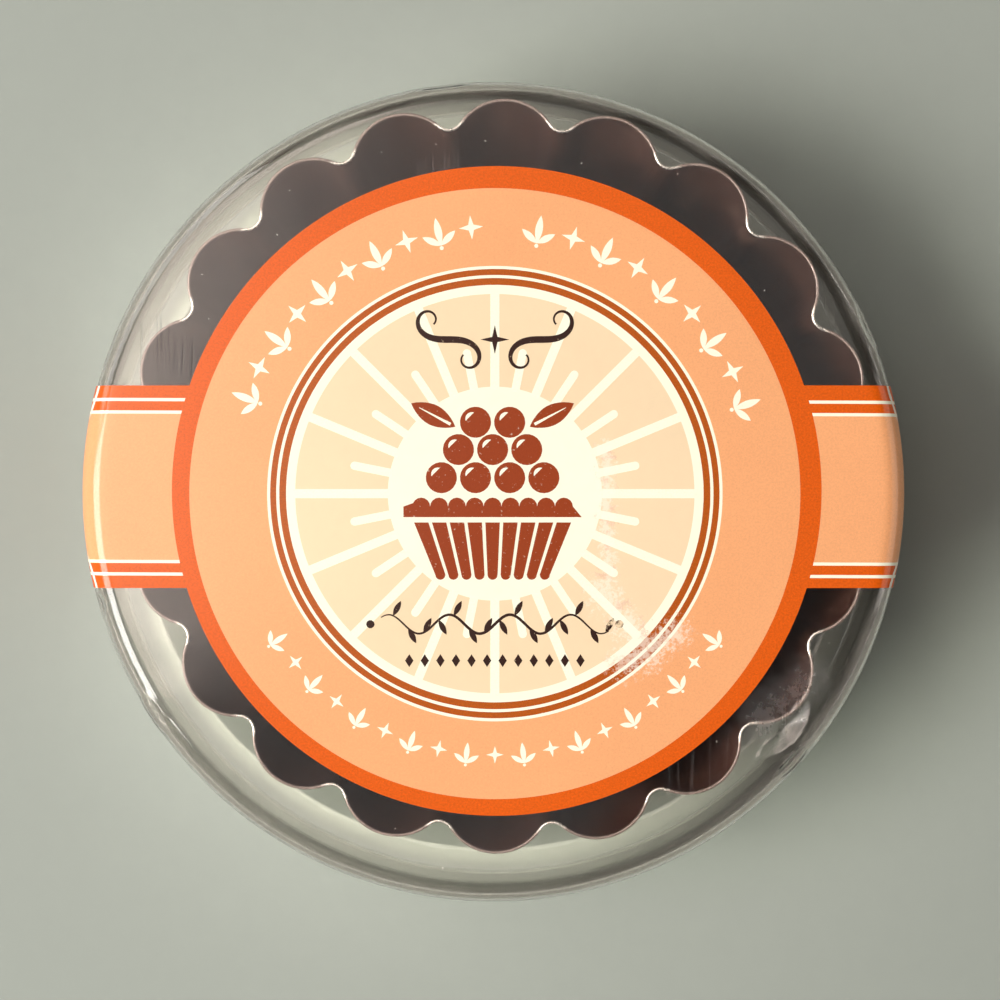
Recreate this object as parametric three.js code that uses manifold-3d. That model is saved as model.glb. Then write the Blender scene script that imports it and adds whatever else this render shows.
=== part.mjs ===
// A set of six fluted tartlet pans, nested in a clear round box.
//
// The box is a footed tub and a deep lid, both thin clear plastic. The lid's skirt slides over the
// tub's neck and stands on its shoulder. A die-cut paper label lies on the lid: a disc on the top,
// with a tab at each side that folds over the rounded edge and runs down the skirt. The pans are
// pressed steel sheet with a nonstick coating, and stand open side up, one in the other.
//
// Millimetres, +Z up. The origin is the centre of the tub's foot, on the surface it stands on.

import * as THREE from "three";
import { mergeVertices } from "three/addons/utils/BufferGeometryUtils.js";
import Module from "manifold-3d";

const wasm = await Module();
wasm.setup();

// ---- Driving dimensions ----

const PAN_COUNT = 6;
const PAN_RADIUS = 50; // at the tips of the flutes, on the rim
const PAN_HEIGHT = 18;
const PAN_SHEET = 0.5;
const PAN_PITCH = 2.4; // how far one nested pan stands above the next
const PAN_REST_GAP = 0.1; // between the lowest pan and the tub's floor
const STACK_SHIFT = new THREE.Vector2(0.95, 2.05); // the stack lies a little to one side in the box
const STACK_TURN = THREE.MathUtils.degToRad(-0.8);

const FLUTES = 20;
const FLUTE_STEPS = [-1, -0.5, 0, 0.5]; // points on a flute's round, as shares of its half sweep
const RIM_FLUTE = { tip: PAN_RADIUS, notch: 46.5, notchRound: 1.8 };
const HEEL_FLUTE = { tip: 41.5, notch: 39.8, notchRound: 2.4 };
const HEEL_HEIGHT = 1.3; // where the wall leaves the rounded base
const FLOOR_RADIUS = 38.2; // the flat part of the base

const BOX_RADIUS = 54.4; // outside of the lid and of the tub's lowest part
const BOX_WALL = 0.5;
const BOX_SEGMENTS = 72;
const LID_CLEARANCE = 0.2; // between the lid's skirt and the tub's neck
const LID_HEADROOM = 1; // above the top pan's rim
const LID_ROUND = 3; // outside radius of the lid's top edge
const SHOULDER_HEIGHT = 6; // where the skirt stands
const SHOULDER_GAP = 0.1;
const FOOT_INNER_RADIUS = 46;
const FOOT_OUTER_RADIUS = 51;
const FOOT_RAISE = 1.1; // of the floor's underside above the foot
const SNAP_BEAD = { height: 9, radius: 0.15, halfLength: 0.8 };

const LABEL_RADIUS = 42.8;
const LABEL_SHIFT = new THREE.Vector2(0.45, 0.1);
const LABEL_PAPER = 0.15;
const LABEL_GAP = 0.05; // the adhesive under the paper
const TAB_TOP = 13.9; // the tabs' two straight edges, from the label's centre
const TAB_BOTTOM = -12.8;
const TAB_END_HEIGHT = 9; // how far down the skirt the tabs reach

// ---- Heights and radii that follow from them ----

const floorTop = FOOT_RAISE + BOX_WALL;
const stackBase = floorTop + PAN_REST_GAP;
const stackTop = stackBase + (PAN_COUNT - 1) * PAN_PITCH + PAN_HEIGHT;
const lidTop = stackTop + LID_HEADROOM + BOX_WALL;
const lidBottom = SHOULDER_HEIGHT + SHOULDER_GAP;
const neckRadius = BOX_RADIUS - BOX_WALL - LID_CLEARANCE;
const neckTop = lidTop - LID_ROUND - LID_CLEARANCE;
const roundCentre = new THREE.Vector2(BOX_RADIUS - LID_ROUND, lidTop - LID_ROUND);

// ---- Materials ----

const clearPlastic = new THREE.MeshStandardMaterial({
  color: 0xe9ecea,
  roughness: 0.08,
  metalness: 0,
  transparent: true,
  opacity: 0.25,
});
const labelPaper = new THREE.MeshStandardMaterial({ color: 0xf6b488, roughness: 0.55, metalness: 0 });
const nonstickCoat = new THREE.MeshStandardMaterial({ color: 0x2a2423, roughness: 0.45, metalness: 0.2 });

// ---- Geometry helpers ----

/** A named mesh. */
function piece(name, geometry, material) {
  const mesh = new THREE.Mesh(geometry, material);
  mesh.name = name;
  return mesh;
}

/** Turns a profile of [radius, height] points, listed from the underside outwards, about Z. */
function turned(profile) {
  const points = profile.map(([radius, height]) => new THREE.Vector2(radius, height));
  return new THREE.LatheGeometry(points, BOX_SEGMENTS).rotateX(Math.PI / 2);
}

/** Points of a quarter round about a centre in the profile, from one angle to another, in degrees. */
function roundPoints(centre, radius, from, to, steps) {
  return Array.from({ length: steps + 1 }, (_, i) => {
    const angle = THREE.MathUtils.degToRad(from + ((to - from) * i) / steps);
    return [centre.x + radius * Math.cos(angle), centre.y + radius * Math.sin(angle)];
  });
}

/** The mesh of a closed geometry as a solid that can be cut. */
function toSolid(geometry) {
  const bare = geometry.index ? geometry.toNonIndexed() : geometry.clone();
  bare.deleteAttribute("normal");
  bare.deleteAttribute("uv");
  const merged = mergeVertices(bare, 1e-4);
  return new wasm.Manifold(
    new wasm.Mesh({
      numProp: 3,
      vertProperties: merged.attributes.position.array,
      triVerts: new Uint32Array(merged.index.array),
    }),
  );
}

/** A cut solid as a geometry again. */
function toGeometry(solid) {
  const mesh = solid.getMesh();
  const geometry = new THREE.BufferGeometry();
  geometry.setAttribute("position", new THREE.BufferAttribute(mesh.vertProperties, 3));
  geometry.setIndex(new THREE.BufferAttribute(mesh.triVerts, 1));
  return geometry;
}

// ---- The tartlet pan ----

/**
 * One level of the fluted wall: a closed ring of points. Each flute is a round about a centre near
 * the tip, and it meets the next one in a smaller round at the notch, tangent to both.
 *
 * An inset gives the parallel curve that far inside, so the sheet has one thickness all round.
 */
function flutedRing({ tip, notch, notchRound }, inset, height) {
  const halfPitch = Math.PI / FLUTES;
  const notchCentre = notch + notchRound;
  const reach = notchCentre * Math.cos(halfPitch);
  const tipRound =
    (tip ** 2 + notchCentre ** 2 - 2 * tip * reach - notchRound ** 2) / (2 * (tip - reach + notchRound));
  const tipCentre = tip - tipRound;
  const halfSweep = Math.atan2(notchCentre * Math.sin(halfPitch), reach - tipCentre);

  const points = [];
  for (let flute = 0; flute < FLUTES; flute += 1) {
    const bearing = (2 * Math.PI * flute) / FLUTES;
    const centre = new THREE.Vector2(tipCentre, 0).rotateAround(new THREE.Vector2(), bearing);
    for (const share of [...FLUTE_STEPS, 1]) {
      const out = new THREE.Vector2(tipRound - inset, 0);
      points.push(centre.clone().add(out.rotateAround(new THREE.Vector2(), bearing + share * halfSweep)));
    }
    const notchPoint = new THREE.Vector2(notch - inset, 0);
    points.push(notchPoint.rotateAround(new THREE.Vector2(), bearing + halfPitch));
  }
  return points.map(({ x, y }) => new THREE.Vector3(x, y, height));
}

/** A plain round ring, with its points at the same bearings as another ring's. */
function roundRing(like, radius, height) {
  return like.map(({ x, y }) => new THREE.Vector3(x, y, 0).setLength(radius).setZ(height));
}

/** Skins a row of rings, closed at both ends on the axis. */
function skin(rings) {
  const count = rings[0].length;
  const bottomPole = new THREE.Vector3(0, 0, rings[0][0].z);
  const topPole = new THREE.Vector3(0, 0, rings.at(-1)[0].z);
  const vertices = [...rings.flat(), bottomPole, topPole];
  const bottom = vertices.length - 2;
  const top = vertices.length - 1;
  const lastRing = (rings.length - 1) * count;

  const faces = [];
  for (let i = 0; i < count; i += 1) {
    const next = (i + 1) % count;
    faces.push(bottom, next, i);
    faces.push(top, lastRing + i, lastRing + next);
    for (let ring = 0; ring < lastRing; ring += count) {
      faces.push(ring + i, ring + next, ring + count + next);
      faces.push(ring + i, ring + count + next, ring + count + i);
    }
  }
  return new THREE.BufferGeometry().setFromPoints(vertices).setIndex(faces);
}

function tartletPanGeometry() {
  const outerHeel = flutedRing(HEEL_FLUTE, 0, HEEL_HEIGHT);
  return skin([
    roundRing(outerHeel, FLOOR_RADIUS, 0),
    outerHeel,
    flutedRing(RIM_FLUTE, 0, PAN_HEIGHT),
    flutedRing(RIM_FLUTE, PAN_SHEET, PAN_HEIGHT),
    flutedRing(HEEL_FLUTE, PAN_SHEET, HEEL_HEIGHT + PAN_SHEET / 2),
    roundRing(outerHeel, FLOOR_RADIUS, PAN_SHEET),
  ]);
}

function panStack() {
  const stack = new THREE.Group();
  const geometry = tartletPanGeometry();
  for (let i = 0; i < PAN_COUNT; i += 1) {
    const pan = piece(`tartlet_pan_${i + 1}`, geometry, nonstickCoat);
    pan.position.z = i * PAN_PITCH;
    stack.add(pan);
  }
  stack.position.set(STACK_SHIFT.x, STACK_SHIFT.y, stackBase);
  stack.rotation.z = STACK_TURN;
  return stack;
}

// ---- The clear box ----

function tub() {
  const footRound = BOX_RADIUS - FOOT_OUTER_RADIUS;
  const footCentre = new THREE.Vector2(FOOT_OUTER_RADIUS, footRound);
  const neckInner = neckRadius - BOX_WALL;
  const { height: bead, radius: beadRise, halfLength: beadHalf } = SNAP_BEAD;
  return piece(
    "tub",
    turned([
      [0, FOOT_RAISE],
      [FOOT_INNER_RADIUS - FOOT_RAISE, FOOT_RAISE],
      [FOOT_INNER_RADIUS, 0],
      ...roundPoints(footCentre, footRound, -90, 0, 3),
      [BOX_RADIUS, SHOULDER_HEIGHT],
      [neckRadius, SHOULDER_HEIGHT],
      [neckRadius, bead - beadHalf],
      [neckRadius + beadRise, bead],
      [neckRadius, bead + beadHalf],
      [neckRadius, neckTop],
      [neckInner, neckTop],
      [neckInner, SHOULDER_HEIGHT - BOX_WALL],
      [BOX_RADIUS - BOX_WALL, SHOULDER_HEIGHT - 2 * BOX_WALL],
      ...roundPoints(footCentre, footRound - BOX_WALL, 0, -90, 3),
      [FOOT_INNER_RADIUS + BOX_WALL, BOX_WALL],
      [FOOT_INNER_RADIUS + BOX_WALL - FOOT_RAISE, floorTop],
      [0, floorTop],
    ]),
    clearPlastic,
  );
}

/** A cap's profile: flat top, rounded edge and straight skirt. Its inside is a gap out from the lid. */
function capProfile(gap, thickness, bottom) {
  const outer = LID_ROUND + gap + thickness;
  const inner = LID_ROUND + gap;
  const outerRound = roundPoints(roundCentre, outer, 0, 90, 4);
  const innerRound = roundPoints(roundCentre, inner, 90, 0, 4);
  return [
    [0, roundCentre.y + inner],
    ...innerRound,
    [roundCentre.x + inner, bottom],
    [roundCentre.x + outer, bottom],
    ...outerRound,
    [0, roundCentre.y + outer],
  ];
}

function lid() {
  return piece("lid", turned(capProfile(-BOX_WALL, BOX_WALL, lidBottom)), clearPlastic);
}

/** The label's die-cut outline, flat: the disc and the band that its two tabs make across it. */
function labelOutline() {
  const reach = BOX_RADIUS + 2 * LID_ROUND;
  const top = Math.asin(TAB_TOP / LABEL_RADIUS);
  const bottom = Math.asin(TAB_BOTTOM / LABEL_RADIUS);
  return new THREE.Shape()
    .moveTo(reach, TAB_BOTTOM)
    .lineTo(reach, TAB_TOP)
    .absarc(0, 0, LABEL_RADIUS, top, Math.PI - top, false)
    .lineTo(-reach, TAB_TOP)
    .lineTo(-reach, TAB_BOTTOM)
    .absarc(0, 0, LABEL_RADIUS, Math.PI - bottom, 2 * Math.PI + bottom, false)
    .closePath();
}

function label() {
  const paper = toSolid(turned(capProfile(LABEL_GAP, LABEL_PAPER, TAB_END_HEIGHT)));
  const die = new THREE.ExtrudeGeometry(labelOutline(), {
    depth: 2 * lidTop,
    bevelEnabled: false,
    curveSegments: 48,
  });
  die.translate(LABEL_SHIFT.x, LABEL_SHIFT.y, 0);
  return piece("label", toGeometry(paper.intersect(toSolid(die))), labelPaper);
}

// ---- The whole set ----

const tartletSet = new THREE.Group();
const closedLid = new THREE.Group();
closedLid.add(lid(), label());
tartletSet.add(tub(), panStack(), closedLid);

export default tartletSet;
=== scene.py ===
"""Looks for a set of six fluted tartlet pans, nested in a clear round box with a paper label.

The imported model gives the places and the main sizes. Each sub-assembly is a class that builds its
meshes in metres, at their place, dresses them and lets each ride on its body. Sizes that the frame
doesn't give are fields in millimetres.
"""

import logging
import math
from collections.abc import Callable, Iterable, Mapping, Sequence
from dataclasses import dataclass, field
from enum import Enum
from functools import cache
from typing import Optional, Union

import bmesh
import bpy
from mathutils import Matrix, Vector


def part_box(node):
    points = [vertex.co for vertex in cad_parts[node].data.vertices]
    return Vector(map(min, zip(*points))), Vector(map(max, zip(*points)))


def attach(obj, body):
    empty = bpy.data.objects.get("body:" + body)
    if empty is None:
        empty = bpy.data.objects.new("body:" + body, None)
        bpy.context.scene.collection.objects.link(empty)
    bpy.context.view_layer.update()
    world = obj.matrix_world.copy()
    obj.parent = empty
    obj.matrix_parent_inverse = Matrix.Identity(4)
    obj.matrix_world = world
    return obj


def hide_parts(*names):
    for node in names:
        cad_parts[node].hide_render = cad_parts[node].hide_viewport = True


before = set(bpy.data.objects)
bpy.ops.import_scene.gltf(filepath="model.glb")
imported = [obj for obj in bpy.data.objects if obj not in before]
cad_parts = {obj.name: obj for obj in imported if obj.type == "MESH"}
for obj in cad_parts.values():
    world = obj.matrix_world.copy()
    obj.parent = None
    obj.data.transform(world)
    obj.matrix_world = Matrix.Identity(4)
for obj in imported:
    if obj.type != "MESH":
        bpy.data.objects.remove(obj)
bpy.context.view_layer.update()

log = logging.getLogger("tartlet_box")

MM = 0.001
PAN_NODES = [f"tartlet_pan_{number}" for number in range(1, 7)]

Point = tuple[float, float]
Colour = tuple[float, float, float, float]
Stroke = tuple[Point, Point, float]
Operand = Union["Value", bpy.types.NodeSocket, float]
Inputs = Mapping[Union[int, str], object]

PRINCIPLED = "ShaderNodeBsdfPrincipled"


def srgb(code: str) -> Colour:
    """Turns a hex colour such as "f56302" into linear light.

    Args:
        code: Six hex digits, red first.

    Returns:
        Red, green, blue and an alpha of 1.
    """
    shares = [int(code[i : i + 2], 16) / 255 for i in (0, 2, 4)]
    linear = [s / 12.92 if s <= 0.04045 else ((s + 0.055) / 1.055) ** 2.4 for s in shares]
    return (*linear, 1.0)


# ---- Node trees written as formulas ----


class Value:
    """A number that a node tree works out. Arithmetic on it adds Math nodes to the tree."""

    def __init__(self, graph: "Graph", socket: bpy.types.NodeSocket) -> None:
        """Wraps a node's output socket."""
        self.graph = graph
        self.socket = socket

    def __add__(self, other: Operand) -> "Value":
        """The sum."""
        return self.graph.math("ADD", self, other)

    def __sub__(self, other: Operand) -> "Value":
        """The difference."""
        return self.graph.math("SUBTRACT", self, other)

    def __rsub__(self, other: Operand) -> "Value":
        """The difference, from a plain number."""
        return self.graph.math("SUBTRACT", other, self)

    def __mul__(self, other: Operand) -> "Value":
        """The product."""
        return self.graph.math("MULTIPLY", self, other)

    def __truediv__(self, other: Operand) -> "Value":
        """The quotient."""
        return self.graph.math("DIVIDE", self, other)

    def __rtruediv__(self, other: Operand) -> "Value":
        """The quotient of a plain number."""
        return self.graph.math("DIVIDE", other, self)

    def __lt__(self, other: Operand) -> "Value":
        """1 where this is less than the other, and 0 elsewhere."""
        return self.graph.math("LESS_THAN", self, other)

    def __gt__(self, other: Operand) -> "Value":
        """1 where this is more than the other, and 0 elsewhere."""
        return self.graph.math("GREATER_THAN", self, other)

    __radd__ = __add__
    __rmul__ = __mul__


class Graph:
    """A node tree, with short ways to add and link its nodes."""

    def __init__(self, tree: bpy.types.NodeTree) -> None:
        """Takes over a node tree, which may already hold nodes."""
        self.tree = tree

    def connect(self, socket: bpy.types.NodeSocket, value: object) -> None:
        """Links an input socket to a value or a socket, or sets it to a plain one."""
        source = value.socket if isinstance(value, Value) else value
        if isinstance(source, bpy.types.NodeSocket):
            self.tree.links.new(source, socket)
        else:
            socket.default_value = source

    def add(self, kind: str, inputs: Optional[Inputs] = None, **settings: object) -> bpy.types.Node:
        """Adds a node.

        Args:
            kind: The node's type name.
            inputs: What feeds its input sockets, by their name or number.
            **settings: The node's own properties.

        Returns:
            The new node.
        """
        node = self.tree.nodes.new(kind)
        for name, setting in settings.items():
            setattr(node, name, setting)
        for key, value in (inputs or {}).items():
            self.connect(node.inputs[key], value)
        return node

    def output(
        self, kind: str, inputs: Optional[Inputs] = None, **settings: object
    ) -> bpy.types.NodeSocket:
        """Adds a node and gives its first output."""
        return self.add(kind, inputs, **settings).outputs[0]

    def value(self, kind: str, inputs: Optional[Inputs] = None, **settings: object) -> Value:
        """Adds a node and gives its first output as a number."""
        return Value(self, self.output(kind, inputs, **settings))

    def math(self, operation: str, *operands: Operand, clamp: bool = False) -> Value:
        """One Math node on one to three operands."""
        return self.value("ShaderNodeMath", dict(enumerate(operands)), operation=operation, use_clamp=clamp)

    def clamped(self, value: Operand) -> Value:
        """A value held between 0 and 1."""
        return self.math("ADD", value, 0.0, clamp=True)

    def smooth(self, value: Operand, low: float, high: float) -> Value:
        """0 below low, 1 above high and a smooth step between. The step falls where low is the larger."""
        if low > high:
            return 1.0 - self.smooth(value, high, low)
        inputs = {"Value": value, "From Min": low, "From Max": high}
        return self.value("ShaderNodeMapRange", inputs, interpolation_type="SMOOTHSTEP")

    def hypotenuse(self, a: Value, b: Value) -> Value:
        """The length of a flat vector."""
        return self.math("SQRT", a * a + b * b)

    def split(self, vector: object) -> list[Value]:
        """A vector's three numbers."""
        return [Value(self, s) for s in self.add("ShaderNodeSeparateXYZ", {0: vector}).outputs]

    def joined(self, x: Operand, y: Operand, z: Operand = 0.0) -> bpy.types.NodeSocket:
        """A vector of three numbers."""
        return self.output("ShaderNodeCombineXYZ", {0: x, 1: y, 2: z})

    def scaled(self, vector: object, factor: Operand) -> bpy.types.NodeSocket:
        """A vector made longer or shorter."""
        return self.output("ShaderNodeVectorMath", {0: vector, "Scale": factor}, operation="SCALE")

    def sum_of(self, first: object, second: object) -> bpy.types.NodeSocket:
        """The sum of two vectors."""
        return self.output("ShaderNodeVectorMath", {0: first, 1: second}, operation="ADD")

    def place(self, group: bpy.types.NodeTree, inputs: Inputs) -> Value:
        """Adds a node group with its own values and gives its one output."""
        kind = "ShaderNodeGroup" if group.bl_idname == "ShaderNodeTree" else "GeometryNodeGroup"
        return self.value(kind, inputs, node_tree=group)

    def noise(self, vector: object, scale: Operand, detail: float = 2.0, roughness: float = 0.5) -> Value:
        """Noise from 0 to 1, with scale in cycles to the metre."""
        inputs = {"Vector": vector, "Scale": scale, "Detail": detail, "Roughness": roughness}
        return self.value("ShaderNodeTexNoise", inputs)

    def mixed(self, share: Operand, first: object, second: object) -> bpy.types.NodeSocket:
        """The first colour, turned to the second by a share."""
        node = self.add("ShaderNodeMix", data_type="RGBA")
        for number, value in ((0, share), (6, first), (7, second)):
            self.connect(node.inputs[number], value)
        return node.outputs[2]

    def toned(self, colour: object, tone: Operand) -> bpy.types.NodeSocket:
        """A colour made lighter or darker by a factor about 1."""
        return self.scaled(colour[:3] if isinstance(colour, tuple) else colour, tone)

    def steps(self, value: Value, stops: Sequence[tuple[float, Colour]]) -> object:
        """A colour that changes at once where the value passes each stop, in millimetres."""
        colour = stops[0][1]
        for position, after in stops[1:]:
            colour = self.mixed(value > position * MM, colour, after)
        return colour

    def bump(
        self, height: Operand, depth: float, strength: float = 1.0, normal: object = None
    ) -> bpy.types.NodeSocket:
        """A normal that tilts with a height, over a depth in millimetres, on top of another normal."""
        inputs = {"Height": height, "Distance": depth * MM, "Strength": strength}
        if normal is not None:
            inputs["Normal"] = normal
        return self.output("ShaderNodeBump", inputs)


class SocketKind(Enum):
    """The kinds of socket that the node groups here use."""

    NUMBER = "NodeSocketFloat"
    COUNT = "NodeSocketInt"
    VECTOR = "NodeSocketVector"
    GEOMETRY = "NodeSocketGeometry"
    MATERIAL = "NodeSocketMaterial"


Sockets = Mapping[str, SocketKind]


def numbers(*names: str) -> dict[str, SocketKind]:
    """Number sockets with these names."""
    return dict.fromkeys(names, SocketKind.NUMBER)


class GroupGraph(Graph):
    """A new node group with named inputs and outputs."""

    def __init__(self, name: str, kind: str, inputs: Sockets, outputs: Sockets) -> None:
        """Makes the group.

        Args:
            name: The group's name.
            kind: "ShaderNodeTree" or "GeometryNodeTree".
            inputs: The name and kind of each input.
            outputs: The name and kind of each output.
        """
        super().__init__(bpy.data.node_groups.new(name, kind))
        for way, sockets in (("INPUT", inputs), ("OUTPUT", outputs)):
            for socket_name, socket_kind in sockets.items():
                self.tree.interface.new_socket(socket_name, in_out=way, socket_type=socket_kind.value)
        self._inputs = self.tree.nodes.new("NodeGroupInput").outputs
        self._outputs = self.tree.nodes.new("NodeGroupOutput").inputs

    def given(self, name: str) -> Value:
        """One of the group's inputs."""
        return Value(self, self._inputs[name])

    def give(self, name: str, value: object) -> None:
        """Feeds one of the group's outputs."""
        self.connect(self._outputs[name], value)

    def real_in(self, geometry: bpy.types.NodeSocket, material: Value) -> bpy.types.NodeSocket:
        """A geometry with its instances made real, in a material."""
        real = self.output("GeometryNodeRealizeInstances", {"Geometry": geometry})
        return self.output("GeometryNodeSetMaterial", {"Geometry": real, "Material": material})


# ---- Effects that several finishes share ----


class Effects:
    """The shader node groups, each built once."""

    def __init__(self) -> None:
        """Builds the groups."""
        self.mottle = self._mottle()
        self.scratches = self._scratches()
        self.rub = self._rub()

    @staticmethod
    def _mottle() -> bpy.types.NodeTree:
        """Broad and fine tone changes about 1."""
        kinds = {"Vector": SocketKind.VECTOR} | numbers("Broad", "Fine", "Broad Share", "Fine Share")
        group = GroupGraph("mottle", "ShaderNodeTree", kinds, numbers("Tone"))
        tone: Operand = 1.0
        for size in ("Broad", "Fine"):
            noise = group.noise(group.given("Vector"), group.given(size), 3.0)
            tone = (noise - 0.5) * group.given(f"{size} Share") + tone
        group.give("Tone", tone)
        return group.tree

    @staticmethod
    def _scratches() -> bpy.types.NodeTree:
        """Thin, broken hairlines in two directions."""
        kinds = {"Vector": SocketKind.VECTOR} | numbers("Spacing", "Amount")
        group = GroupGraph("scratches", "ShaderNodeTree", kinds, numbers("Mask"))
        hairline_width = 0.03
        mask: Operand = 0.0
        for turn, stretch in ((0.5, 26.0), (2.0, 34.0)):
            inputs = {
                "Vector": group.given("Vector"),
                "Rotation": (0.0, 0.3, turn),
                "Scale": (stretch, 1.0, stretch),
            }
            drawn_out = group.output("ShaderNodeMapping", inputs)
            lines = group.noise(drawn_out, group.given("Spacing"), 1.0)
            broken = group.noise(group.given("Vector"), group.given("Spacing") * 6.0, 1.0)
            hairline = group.smooth(group.math("ABSOLUTE", lines - 0.5), hairline_width, 0.0)
            mask = group.math("MAXIMUM", hairline * group.smooth(broken, 0.56, 0.66), mask)
        group.give("Mask", mask * group.given("Amount"))
        return group.tree

    @staticmethod
    def _rub() -> bpy.types.NodeTree:
        """Print rubbed off along a stroke: patchy inside a reach of the line from one point to another."""
        kinds = dict.fromkeys(("Vector", "From", "To"), SocketKind.VECTOR)
        kinds |= numbers("Reach", "Grain", "Spread")
        group = GroupGraph("rub", "ShaderNodeTree", kinds, numbers("Mask"))
        x, y, _ = group.split(group.given("Vector"))
        from_x, from_y, _ = group.split(group.given("From"))
        to_x, to_y, _ = group.split(group.given("To"))
        along_x, along_y = to_x - from_x, to_y - from_y
        out_x, out_y = x - from_x, y - from_y
        length_squared = along_x * along_x + along_y * along_y
        share = group.clamped((out_x * along_x + out_y * along_y) / length_squared)
        away = group.hypotenuse(out_x - along_x * share, out_y - along_y * share) / group.given("Reach")
        patches = group.noise(group.given("Vector"), group.given("Grain"), 5.0, 0.75)
        past_edge = patches + (1.0 - away) * 0.2 - 0.6
        rubbed = group.clamped(past_edge / group.given("Spread") + 0.5)
        group.give("Mask", rubbed * group.clamped(2.0 - away))
        return group.tree


EFFECTS = Effects()


# ---- Finishes ----


class Finish:
    """A surface finish, which builds one named material."""

    name: str

    def paint(self, graph: Graph) -> object:
        """Adds the finish's nodes and gives the shader that shows."""
        raise NotImplementedError

    @cache
    def material(self) -> bpy.types.Material:
        """The finish's material, built the first time it is asked for."""
        material = bpy.data.materials.new(self.name)
        material.use_nodes = True
        material.node_tree.nodes.clear()
        graph = Graph(material.node_tree)
        surface = self.paint(graph)
        graph.add("ShaderNodeOutputMaterial", {"Surface": surface})
        return material


def object_coordinates(graph: Graph) -> bpy.types.NodeSocket:
    """The place on the object, in metres."""
    return graph.add("ShaderNodeTexCoord").outputs["Object"]


@dataclass(frozen=True)
class Mottle:
    """How a finish's tone changes: its noise in cycles to the metre, with each one's share of the tone."""

    broad: float
    fine: float
    broad_share: float
    fine_share: float

    def tone(self, graph: Graph, place: bpy.types.NodeSocket) -> Value:
        """The tone at a place, about 1."""
        inputs = {"Vector": place, "Broad": self.broad, "Fine": self.fine}
        inputs |= {"Broad Share": self.broad_share, "Fine Share": self.fine_share}
        return graph.place(EFFECTS.mottle, inputs)


def stroke_wear(
    graph: Graph,
    place: bpy.types.NodeSocket,
    strokes: Sequence[Stroke],
    grain: float = 1900.0,
    spread: float = 0.14,
) -> Value:
    """Patchy wear along straight strokes.

    Args:
        graph: The finish's nodes.
        place: The object coordinates.
        strokes: Where each stroke starts and ends, and how far the wear reaches from it, in millimetres.
        grain: How fine the patches are, in cycles to the metre.
        spread: How softly the patches fade, as a share of the noise.

    Returns:
        The wear, from 0 to 1.
    """
    wear: Operand = 0.0
    for start, end, reach in strokes:
        inputs = {"Vector": place, "Reach": reach * MM, "Grain": grain, "Spread": spread}
        inputs |= {"From": Vector((*start, 0.0)) * MM, "To": Vector((*end, 0.0)) * MM}
        wear = graph.math("MAXIMUM", graph.place(EFFECTS.rub, inputs), wear)
    return wear


@dataclass(frozen=True)
class ClearPlastic(Finish):
    """Thin clear sheet with shallow waves and hairline scratches. Lamps shine through it.

    Its roughness adds up from an even haze, clouds, scratches and the strokes where it was crushed.
    """

    name: str = "clear_sheet"
    tint: Colour = srgb("fdfaf8")
    haze: float = 0.035
    clearness: float = 1.0
    waviness: float = 0.35
    cloud: float = 0.05
    scratch: float = 0.2
    crush: float = 0.32
    crushed: tuple[Stroke, ...] = (((35.5, -29.5), (41.5, -25.0), 2.6),)

    def paint(self, graph: Graph) -> object:
        """Adds the sheet's nodes."""
        place = object_coordinates(graph)
        crush = stroke_wear(graph, place, self.crushed, 800.0, 0.6)
        scratches = graph.place(EFFECTS.scratches, {"Vector": place, "Spacing": 13.0, "Amount": 0.4})
        clouds = graph.noise(place, 45.0, 3.0)
        waves = graph.bump(graph.noise(place, 70.0, 1.0), 0.18, self.waviness)
        inputs = {
            "Base Color": self.tint,
            "Roughness": self.haze + clouds * self.cloud + scratches * self.scratch + crush * self.crush,
            "IOR": 1.4,
            "Transmission Weight": self.clearness,
            "Normal": graph.bump(scratches, -0.02, 0.5, waves),
        }
        sheet = graph.output(PRINCIPLED, inputs)
        open_to_lamps = graph.output("ShaderNodeBsdfTransparent", {"Color": srgb("fbfcfa")})
        to_lamp = graph.add("ShaderNodeLightPath").outputs["Is Shadow Ray"]
        return graph.output("ShaderNodeMixShader", {0: to_lamp, 1: sheet, 2: open_to_lamps})


@dataclass(frozen=True)
class NonstickCoat(Finish):
    """Dark satin coat on pressed steel, with cloudy dust and faint storage scratches."""

    name: str = "nonstick_coat"
    dark: Colour = srgb("2b1812")
    dusty: Colour = srgb("5a463c")
    mottle: Mottle = Mottle(140.0, 600.0, 0.6, 0.1)
    roughness: float = 0.38

    def paint(self, graph: Graph) -> object:
        """Adds the coat's nodes."""
        place = object_coordinates(graph)
        tone = self.mottle.tone(graph, place)
        scratches = graph.place(EFFECTS.scratches, {"Vector": place, "Spacing": 17.0, "Amount": 0.3})
        dust = graph.smooth(graph.noise(place, 130.0, 4.0, 0.65), 0.5, 0.8)
        dusted = graph.mixed(dust * 0.35 + scratches * 0.3, self.dark, self.dusty)
        inputs = {
            "Base Color": graph.toned(dusted, tone),
            "Roughness": self.roughness + dust * 0.16 + (tone - 1.0) * 0.12,
            "Specular IOR Level": 0.35,
            "Normal": graph.bump(scratches, -0.01, 0.5),
        }
        return graph.output(PRINCIPLED, inputs)


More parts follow.
